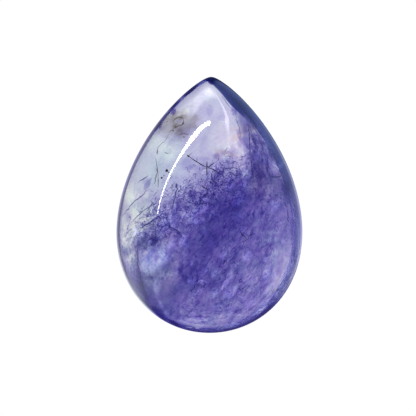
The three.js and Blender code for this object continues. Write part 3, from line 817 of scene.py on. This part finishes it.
# The crack edges
# Fine cracks and the cleavage plane on the right, seen edge-on as blue-grey lines.
CRACKS = (
    (0.065, 0.7, 0.02, ((-3.87, 1.2), (-3.62, 1.4), (-3.33, 1.58))),
    (0.065, 0.6, 0.02, ((-3.4, 0.78), (-3.68, 0.5), (-4.08, 0.21), (-4.35, -0.12), (-4.8, -0.66))),
    (0.045, 0.6, 0.04, ((-2.92, 0.2), (-3.13, 0.03), (-3.42, -0.22), (-3.96, -0.64), (-4.2, -0.92))),
    (0.1, 0.5, 0.02, ((-2.55, -0.5), (-2.94, -0.75), (-3.24, -0.96), (-3.74, -1.24))),
    (0.12, 0.5, 0.02, ((-1.82, 1.18), (-1.79, 0.92))),
    (0.065, 0.4, 0.05, (
        (-1.84, 1.05), (-1.78, 0.85), (-1.92, 0.58), (-1.89, 0.28), (-2.02, 0.0), (-2.11, -0.4),
    )),
    (0.07, 0.5, 0.03, ((-2.34, -1.1), (-2.05, -1.22), (-1.5, -1.56))),
    (0.075, 0.4, 0.05, (
        (0.3, 1.68), (0.53, 1.85), (0.7, 1.83), (0.89, 1.99), (1.07, 1.92), (1.18, 2.05), (1.37, 1.92),
        (1.58, 1.96),
    )),
    (0.06, 0.4, 0.05, ((0.9, 1.62), (1.15, 1.72), (1.3, 1.62), (1.52, 1.7))),
    (0.08, 0.4, 0.05, ((0.2, 1.8), (0.08, 1.46), (0.21, 1.27), (0.38, 1.2), (0.22, 0.97))),
    (0.08, 0.4, 0.06, ((-0.9, 0.62), (-0.62, 0.42), (-0.52, 0.12), (-0.2, 0.2))),
    (0.06, 1.0, 0.01, ((2.06, 4.4), (2.1, 3.9), (2.13, 3.39), (2.16, 2.72))),
    (0.045, 1.0, 0.01, ((2.18, 2.6), (2.26, 1.91), (2.35, 1.5))),
    (0.05, 1.0, 0.01, ((3.08, 2.9), (3.1, 2.4), (3.13, 1.85))),
    (0.07, 0.5, 0.02, ((3.17, 1.75), (3.34, 1.5), (3.82, 1.56), (3.98, 1.67))),
    (0.06, 0.5, 0.04, ((3.98, 0.32), (4.17, -0.38), (4.22, -0.92))),
    (0.045, 0.4, 0.06, ((2.37, -1.3), (2.04, -1.84), (1.72, -2.28))),
    (0.06, 0.5, 0.03, (
        (-3.86, -2.0), (-3.92, -2.4), (-3.91, -2.9), (-3.89, -3.35), (-3.74, -3.89), (-3.58, -4.5),
    )),
    (0.04, 0.5, 0.02, ((-4.26, -1.23), (-4.52, -1.6))),
    (0.06, 0.6, 0.04, ((-0.45, -4.12), (-0.62, -4.26), (-0.8, -4.42), (-0.98, -4.75))),
    (0.05, 0.6, 0.03, ((-0.62, -4.26), (-0.35, -4.34), (-0.12, -4.28))),
    (0.045, 0.6, 0.03, ((-0.55, -4.4), (-0.28, -4.46))),
    (0.045, 0.6, 0.03, ((-0.72, -4.05), (-0.66, -4.3))),
    (0.06, 0.5, 0.03, ((1.1, -3.2), (1.28, -3.12), (1.4, -3.22))),
    (0.055, 0.5, 0.02, ((1.24, -3.06), (1.34, -3.12))),
    (0.08, 0.5, 0.02, ((1.58, -4.04), (1.7, -3.98))),
    (0.07, 0.5, 0.02, ((1.55, -4.42), (1.62, -4.62))),
    (0.07, 0.5, 0.02, ((1.72, -4.52), (1.84, -4.44))),
    (0.06, 0.5, 0.02, ((0.74, -2.96), (0.88, -3.06))),
    (0.06, 0.5, 0.02, ((0.46, -3.34), (0.6, -3.28))),
    (0.07, 0.5, 0.02, ((0.52, -5.5), (0.6, -5.62))),
    (0.05, 0.5, 0.02, ((0.62, -3.8), (0.78, -3.6), (0.92, -3.44))),
    (0.045, 0.5, 0.02, ((0.78, -4.02), (0.92, -3.86))),
    (0.05, 0.2, 0.01, ((0.6, 5.9), (0.78, 5.66), (0.96, 5.42), (1.18, 5.18))),
    (0.035, 0.2, 0.02, ((1.36, 4.85), (1.46, 4.5), (1.56, 4.15), (1.64, 3.65))),
)
points, faces = [], []
add_lines(points, faces, CRACKS)
inclusion("crack_edges", points, faces, (0.06, 0.06, 0.17), (0.14, 0.14, 0.30), 1.0)


# The healed crack
# A crack that healed as the stone grew, and left a net of short winding tubes on a curved sheet
# above the dark core. They are separate thin threads, joined in one mesh.
VEIL_SPINE = ((-3.3, -1.5), (-2.6, -0.6), (-1.3, 0.2), (0.3, 1.2), (1.9, 1.7))
VEIL_SPREAD = 0.55
VEIL_DEPTH = (0.25, 0.7)
VEIL_THREADS = 800
VEIL_STEPS = (4, 9)
VEIL_STEP = 0.05
VEIL_HEADING = math.radians(40)
VEIL_WINDS = 0.8
VEIL_WIDTH = (0.014, 0.036)
points, faces = [], []
spine = through(VEIL_SPINE, 60)
for _ in range(VEIL_THREADS):
    x, y = spine[chance.integers(len(spine))] + chance.normal(0.0, VEIL_SPREAD, 2)
    depth = chance.uniform(*VEIL_DEPTH)
    heading = chance.normal(VEIL_HEADING, VEIL_WINDS)
    count = int(chance.integers(*VEIL_STEPS))
    way = []
    for _ in range(count):
        way.append(inside(x, y, depth))
        heading += chance.normal(0.0, VEIL_WINDS)
        x += VEIL_STEP * math.cos(heading)
        y += VEIL_STEP * math.sin(heading)
    if None in way:
        continue
    radii = chance.uniform(*VEIL_WIDTH) / 2 * MM * chance.uniform(0.6, 1.2, count)
    radii[[0, -1]] *= 0.4
    add_tube(points, faces, way, radii)
inclusion("healed_crack", points, faces, (0.07, 0.065, 0.20), (0.14, 0.13, 0.36), 1.0)


# The pale flakes
# Clean little cracks, paler than the violet round them, that glow with painted light in place of the table's
# light they would catch.
FLAKES = (
    (0.05, 0.3, 0.0, ((1.46, -4.87), (1.75, -5.0), (2.06, -5.14))),
    (0.04, 0.6, 0.04, ((-0.25, -4.12), (-0.42, -4.05), (-0.55, -4.12))),
    (0.04, 0.6, 0.04, ((-0.4, -4.52), (-0.66, -4.62), (-0.88, -4.9))),
    (0.06, 0.5, 0.05, ((-3.95, -1.15), (-4.02, -1.42), (-3.88, -1.62))),
    (0.06, 0.5, 0.05, ((-3.7, -1.32), (-3.78, -1.62))),
    (0.055, 0.5, 0.03, ((-4.1, -1.15), (-4.02, -1.28))),
    (0.05, 0.5, 0.03, ((-3.92, -1.45), (-3.8, -1.52))),
    (0.055, 0.5, 0.03, ((-3.72, -1.6), (-3.64, -1.74))),
    (0.045, 0.5, 0.03, ((-4.18, -1.5), (-4.08, -1.6))),
    (0.035, 0.4, 0.01, ((3.34, 2.2), (3.61, 2.04), (3.82, 1.67))),
)
points, faces = [], []
add_lines(points, faces, FLAKES)
inclusion("pale_flakes", points, faces, (0.45, 0.45, 0.80), (0.7, 0.7, 0.95), 0.9)


# The light table
# A sheet of white acrylic, lit from below, that the stone stands on. It is a plain white ground to
# the camera and lights the stone from underneath. What the polish shows of it is in the studio.
TABLE_SIZE = 0.6
TABLE_GAP = 0.03 * MM
TABLE_WHITE = 1.02
TABLE_BESIDE_STONE = 1.0
bpy.ops.mesh.primitive_plane_add(size=TABLE_SIZE, location=(0, 0, -TABLE_GAP))
table = bpy.context.object
table.name = "light_table"
table.visible_glossy = False
shader = new_material(table, "light_table")
shader.inputs["Base Color"].default_value = (0.0, 0.0, 0.0, 1.0)
shader.inputs["Specular IOR Level"].default_value = 0.0
shader.inputs["Roughness"].default_value = 1.0
shader.inputs["Emission Color"].default_value = WHITE
to_camera = node("LightPath", "Is Camera Ray")
glow = spread_range(to_camera, 0.0, 1.0, TABLE_BESIDE_STONE, TABLE_WHITE)
plug(shader.inputs["Emission Strength"], glow)


# The studio
# White where the camera sees past the table. The polish shows a dim room, the white table below
# it, brightest just past the stone's point, and a grey card with a lit edge that stands there.
ROOM_DIM = (0.04, 0.045, 0.06, 1.0)
CARD_GREY = (0.50, 0.52, 0.80, 1.0)
CARD_EDGE = (3.6, 3.5, 3.9, 1.0)
TABLE_FRONT = (0.06, 0.05, 0.25, 1.0)
TABLE_RIGHT = (0.22, 0.24, 0.38, 1.0)
TABLE_RIGHT_OF_POINT = (0.17, 0.235, 0.46, 1.0)
TABLE_LEFT_OF_POINT = (0.05, 0.05, 0.15, 1.0)
TABLE_LEFT = (0.34, 0.32, 0.44, 1.0)
TABLE_LEFT_FRONT = (0.75, 0.78, 0.90, 1.0)
TABLE_PAST_POINT = (1.1, 1.1, 1.15, 1.0)
TABLE_AT_EDGE = (0.58, 0.58, 0.84, 1.0)
TABLE_AT_LEFT_EDGE = (1.1, 1.15, 1.35, 1.0)
TABLE_UNDER_POINT = (0.02, 0.03, 0.10, 1.0)
TABLE_GLOW = (5.0, 5.0, 5.2, 1.0)
TABLE_SHEEN = (2.5, 2.6, 2.7, 1.0)
ROOM_FRONT = (0.16, 0.19, 0.38, 1.0)
ROOM_RIGHT = (0.05, 0.06, 0.12, 1.0)
ROOM_LEFT = (1.0, 1.0, 1.05, 1.0)
ROOM_LOW = (0.06, 0.05, 0.12, 1.0)
world = bpy.data.worlds.new("studio")
world.use_nodes = True
scene.world = world
tree = world.node_tree
way = node("TexCoord", "Generated")
way_x, way_y, way_z = (node("SeparateXYZ", axis, inputs={0: way}) for axis in "XYZ")
# Bearings go from the stone's point to its right, and rises up from level, both in degrees
bearing = times(maths("ARCTAN2", way_x, way_y), 180 / math.pi)
rise = times(maths("ARCSINE", way_z), 180 / math.pi)
# The card and its lit edge, which curves in below the card's corner
CARD_SIDE = 36.3
CARD_CORNER = 5.0
above_corner = minus(rise, CARD_CORNER)
below_corner = maths("MINIMUM", above_corner, 0.0)
above_corner = maths("MAXIMUM", above_corner, 0.0)
past_edge = minus(bearing, CARD_SIDE)
past_edge = plus(past_edge, times(below_corner, below_corner), 0.022)
past_edge = plus(past_edge, above_corner, -0.12)
card = times(
    step_between(plus(rise, maths("MAXIMUM", bearing, 0.0), 0.55), -2.5, 8.0),
    step_between(plus(rise, bearing, 0.6), 37.5, 34.5),
    step_between(past_edge, -0.4, -1.4),
    step_between(plus(bearing, rise, -0.5), -38.0, -24.0),
)
edge = step_between(maths("ABSOLUTE", past_edge), 2.6, 1.0)
edge = times(edge, between(rise, -26.0, -16.0, 8.0, 26.0))
# The table, part by part
below = step_between(rise, 1.0, -3.0)
past_point = times(between(bearing, -85.0, -30.0, 20.0, 40.0), step_between(rise, -44.0, -22.0))
glow_x = plus(-0.1, bearing, 1 / 26)
glow_y = plus(0.95, rise, 1 / 14)
around = node("CombineXYZ", inputs={"X": glow_x, "Y": glow_y})
glow = step_between(vector("LENGTH", around, output="Value"), 1.0, 0.2)
from_front = maths("ABSOLUTE", minus(bearing, 2.0))
at_edge = times(step_between(rise, -58.0, -70.0), step_between(from_front, 141.0, 127.0))
at_edge = times(at_edge, step_between(bearing, -62.0, -80.0))
at_right_edge = times(step_between(rise, -70.0, -78.0), step_between(bearing, 36.0, 60.0))
at_right_edge = times(at_right_edge, step_between(bearing, 130.0, 116.0, 0.0, 0.7))
edge_light = blend(step_between(bearing, -90.0, -108.0), TABLE_AT_EDGE, TABLE_AT_LEFT_EDGE)
TABLE_LIGHTS = (
    (step_between(way_x, -0.3, 0.3), TABLE_RIGHT),
    (step_between(bearing, -104.0, -122.0), TABLE_LEFT_FRONT),
    (step_between(from_front, 122.0, 142.0), TABLE_FRONT),
    (between(bearing, 0.0, 20.0, 60.0, 80.0), TABLE_RIGHT_OF_POINT),
    (between(bearing, -64.0, -52.0, -20.0, -10.0), TABLE_LEFT_OF_POINT),
    (between(bearing, -32.0, -18.0, 12.0, 24.0), TABLE_UNDER_POINT),
    (maths("MAXIMUM", at_edge, at_right_edge), edge_light),
    (past_point, TABLE_PAST_POINT),
)
polish = TABLE_LEFT
for share, light in TABLE_LIGHTS:
    polish = blend(share, polish, light)
polish = blend(below, ROOM_DIM, polish)
sheen = times(between(bearing, -46.0, -30.0, 10.0, 30.0), between(rise, -30.0, -18.0, 2.0, 12.0))
for share, light in ((sheen, TABLE_SHEEN), (glow, TABLE_GLOW), (card, CARD_GREY), (edge, CARD_EDGE)):
    polish = blend(share, polish, light)
# What reaches the eye through the stone
refracted = blend(step_between(way_x, 0.5, -0.5), ROOM_RIGHT, ROOM_LEFT)
refracted = blend(step_between(way_y, 0.0, -0.5), refracted, ROOM_FRONT)
refracted = blend(step_between(way_y, 0.7, 0.8), refracted, ROOM_LEFT)
low = step_between(plus(rise, bearing, 0.5), 17.0, 12.0)
low = times(low, between(bearing, -45.0, -35.0, 40.0, 60.0))
refracted = blend(low, refracted, ROOM_LOW)
light = blend(node("LightPath", "Is Transmission Ray"), polish, refracted)
light = blend(node("LightPath", "Is Camera Ray"), light, WHITE)
plug(tree.nodes["Background"].inputs["Color"], light)


# The ring lamp
# A quarter of a ring lamp that hangs behind the stone and to its left, about 33 degrees above the
# table. It tapers away from the stone's point, and shows as the bright streak.
LAMP_RADIUS = 0.25
LAMP_STEPS = 160
LAMP_GLOW = 13.0
# Its bearings go from the stone's point to its left. All its angles are in degrees
LAMP_RISE = 33.4
LAMP_DROP = 2.0
LAMP_FROM = -10.5
LAMP_TO = 81.0
LAMP_LIFT = 2.0
LIFT_AT = 13.0
LIFT_REACH = 20.0
LAMP_WIDTH = 5.4
LAMP_THIN = 1.5
LAMP_TAPER = 1.3
LAMP_END = 8.0
END_DROOP = 2.4
DROOP_REACH = 15.5
BELLY_WIDTH = 3.7
BELLY_AT = 33.0
BELLY_REACH = 15.0
# The share of its width and of its belly that lies below and above its middle line
LAMP_SIDES = ((-0.5, -0.4), (0.5, 0.6))
along_lamp = np.linspace(0.0, 1.0, LAMP_STEPS + 1)
lamp_bearings = LAMP_FROM + (LAMP_TO - LAMP_FROM) * along_lamp
round_end = np.minimum(1.0, (lamp_bearings - LAMP_FROM) / LAMP_END)
round_end = np.sqrt(1 - (1 - round_end) ** 2)
taper = round_end * (LAMP_THIN + (LAMP_WIDTH - LAMP_THIN) * (1 - along_lamp) ** LAMP_TAPER)
lift = LAMP_LIFT * np.exp(-(((lamp_bearings - LIFT_AT) / LIFT_REACH) ** 2))
belly = round_end * BELLY_WIDTH * np.exp(-(((lamp_bearings - BELLY_AT) / BELLY_REACH) ** 2))
droop = END_DROOP * np.maximum(0.0, 1 - (lamp_bearings - LAMP_FROM) / DROOP_REACH)
lamp_turn = np.radians(lamp_bearings)
lamp_points = []
for side, belly_share in LAMP_SIDES:
    lamp_rise = LAMP_RISE - LAMP_DROP * along_lamp + lift - droop + side * taper + belly_share * belly
    lamp_rise = np.radians(lamp_rise)
    x = -LAMP_RADIUS * np.cos(lamp_rise) * np.sin(lamp_turn)
    y = LAMP_RADIUS * np.cos(lamp_rise) * np.cos(lamp_turn)
    lamp_points += list(zip(x, y, LAMP_RADIUS * np.sin(lamp_rise)))
lamp_faces = [(i, i + 1, i + LAMP_STEPS + 2, i + LAMP_STEPS + 1) for i in range(LAMP_STEPS)]
lamp = new_object("ring_lamp", lamp_points, lamp_faces)
lamp.visible_camera = False
lamp.visible_transmission = False
shader = new_material(lamp, "ring_lamp")
shader.inputs["Emission Color"].default_value = WHITE
shader.inputs["Emission Strength"].default_value = LAMP_GLOW

# Colours as they are, and bounces enough for light that turns many times inside the stone
scene.view_settings.view_transform = "Standard"
scene.view_settings.look = "None"
scene.cycles.max_bounces = 24
scene.cycles.glossy_bounces = 16
scene.cycles.transmission_bounces = 16
